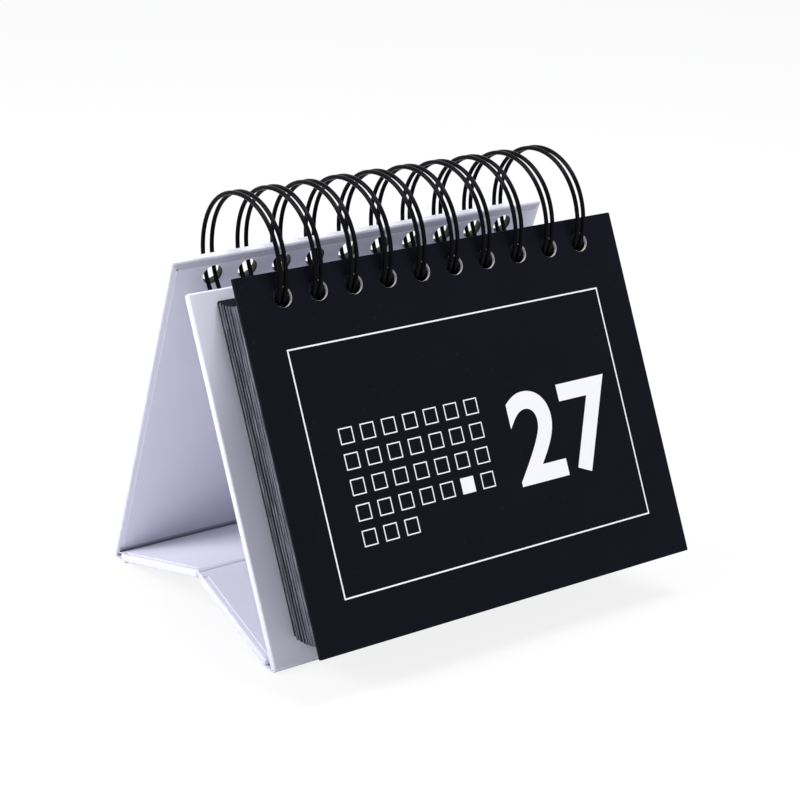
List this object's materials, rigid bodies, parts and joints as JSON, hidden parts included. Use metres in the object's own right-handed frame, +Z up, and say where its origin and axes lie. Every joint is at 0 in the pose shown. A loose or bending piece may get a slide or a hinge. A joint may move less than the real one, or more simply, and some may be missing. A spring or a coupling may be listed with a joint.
{
  "type": "desk flip calendar",
  "caption": "Wire-bound day calendar on a folding easel stand: cover card and leaf bundles turn over a twin-loop wire, and the wrapped board stand folds flat on its raised base.",
  "frame": {"origin": "on the table under the middle of the part's width and depth", "axes": "+X to the right seen from the front, +Y from the cover to the rear board, +Z up"},
  "size_m": [0.145, 0.1278, 0.1397],
  "materials": {
    "greyboard": "matt",
    "white_wrap": "smooth matt",
    "white_liner": "smooth matt",
    "cover_core": "matt",
    "black_print": "satin",
    "cover_paper": "matt",
    "leaf_paper": "matt",
    "black_wire": "gloss nylon coating"
  },
  "bodies": {
    "front_stand": {"front_board": "greyboard", "front_wrap": "white_wrap", "front_liner": "white_liner", "wire_binding": "black_wire", "front_hinge_strip": "white_wrap"},
    "rear_panel": {"rear_board": "greyboard", "rear_wrap": "white_wrap", "rear_liner": "white_liner", "rear_hinge_strip": "white_wrap"},
    "base_front": {"base_front_board": "greyboard", "base_front_wrap": "white_wrap", "base_front_liner": "white_liner", "crease_hinge_strip": "white_liner"},
    "base_rear": {"base_rear_board": "greyboard", "base_rear_wrap": "white_wrap", "base_rear_liner": "white_liner"},
    "cover": {"cover_board": "cover_core", "cover_print": "black_print", "cover_back_paper": "cover_paper"},
    "leaves_1": {"leaf_bundle_1": "leaf_paper"},
    "leaves_2": {"leaf_bundle_2": "leaf_paper"},
    "leaves_3": {"leaf_bundle_3": "leaf_paper"},
    "leaves_4": {"leaf_bundle_4": "leaf_paper"},
    "leaves_5": {"leaf_bundle_5": "leaf_paper"},
    "leaves_6": {"leaf_bundle_6": "leaf_paper"}
  },
  "joints": [
    {"name": "stand_fold", "type": "hinge", "parent": "front_stand", "child": "rear_panel", "pos_m": [0, 0.004, 0.11702], "axis": [-1, 0, 0], "range_deg": [0, 32]},
    {"name": "base_front_fold", "type": "hinge", "parent": "front_stand", "child": "base_front", "pos_m": [0, -0.03532, 0.0022], "axis": [1, 0, 0], "range_deg": [0, 32], "deforming": ["front_hinge_strip", "crease_hinge_strip"]},
    {"name": "base_rear_fold", "type": "hinge", "parent": "rear_panel", "child": "base_rear", "pos_m": [0, 0.06019, 0.0022], "axis": [-1, 0, 0], "range_deg": [0, 54.4], "deforming": ["rear_hinge_strip"]},
    {"name": "cover_turn", "type": "hinge", "parent": "front_stand", "child": "cover", "pos_m": [0, 0.004, 0.11702], "axis": [-1, 0, 0], "range_deg": [0, 170]},
    {"name": "leaves_1_turn", "type": "hinge", "parent": "front_stand", "child": "leaves_1", "pos_m": [0, 0.004, 0.11702], "axis": [-1, 0, 0], "range_deg": [0, 145.8]},
    {"name": "leaves_2_turn", "type": "hinge", "parent": "front_stand", "child": "leaves_2", "pos_m": [0, 0.004, 0.11702], "axis": [-1, 0, 0], "range_deg": [0, 121.5]},
    {"name": "leaves_3_turn", "type": "hinge", "parent": "front_stand", "child": "leaves_3", "pos_m": [0, 0.004, 0.11702], "axis": [-1, 0, 0], "range_deg": [0, 97.2]},
    {"name": "leaves_4_turn", "type": "hinge", "parent": "front_stand", "child": "leaves_4", "pos_m": [0, 0.004, 0.11702], "axis": [-1, 0, 0], "range_deg": [0, 72.9]},
    {"name": "leaves_5_turn", "type": "hinge", "parent": "front_stand", "child": "leaves_5", "pos_m": [0, 0.004, 0.11702], "axis": [-1, 0, 0], "range_deg": [0, 48.6]},
    {"name": "leaves_6_turn", "type": "hinge", "parent": "front_stand", "child": "leaves_6", "pos_m": [0, 0.004, 0.11702], "axis": [-1, 0, 0], "range_deg": [0, 24.3]}
  ],
  "couplings": [
    {"joint": "base_front_fold", "follows": "stand_fold", "ratio": 1},
    {"joint": "base_rear_fold", "follows": "stand_fold", "ratio": 1.7},
    {"joint": "leaves_1_turn", "follows": "cover_turn", "ratio": 0.8571},
    {"joint": "leaves_2_turn", "follows": "cover_turn", "ratio": 0.7143},
    {"joint": "leaves_3_turn", "follows": "cover_turn", "ratio": 0.5714},
    {"joint": "leaves_4_turn", "follows": "cover_turn", "ratio": 0.4286},
    {"joint": "leaves_5_turn", "follows": "cover_turn", "ratio": 0.2857},
    {"joint": "leaves_6_turn", "follows": "cover_turn", "ratio": 0.1429}
  ]
}
